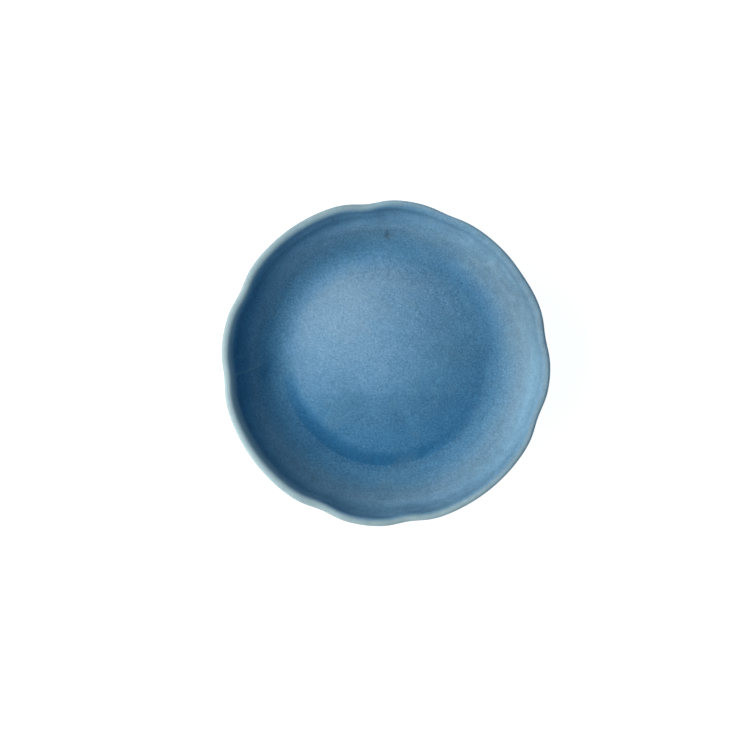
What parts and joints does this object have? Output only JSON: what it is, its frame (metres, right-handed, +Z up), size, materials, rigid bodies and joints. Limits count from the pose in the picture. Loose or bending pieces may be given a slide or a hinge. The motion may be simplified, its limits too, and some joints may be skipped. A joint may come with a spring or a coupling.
{
  "type": "soy sauce dish",
  "caption": "Small round ceramic sauce dish with a notched petal rim, a curved wall that is steep below the lip, a gently domed floor and a low foot ring, glazed blue with a pale lip.",
  "frame": {"origin": "centre of the foot ring's contact face, on the surface that the dish stands on", "axes": "+Z up, out of the well; +X towards the right of the picture and +Y towards its top, as seen from above"},
  "size_m": [0.1, 0.0993, 0.02],
  "materials": {
    "clay": "fired stoneware, covered by glaze",
    "bare_clay": "fired stoneware, bare and slightly gritty at the contact edge",
    "well_glaze": "satin blue glaze, finely mottled, deeper where it has pooled",
    "thin_glaze": "thin satin glaze, pale green-grey over the lip",
    "outside_glaze": "satin blue glaze, finely mottled"
  },
  "bodies": {
    "root": {"clay_body": "clay", "foot_ring": "bare_clay", "inner_glaze": "well_glaze", "lip_glaze": "thin_glaze", "outer_glaze": "outside_glaze", "foot_glaze": "outside_glaze", "base_glaze": "outside_glaze"}
  },
  "joints": []
}
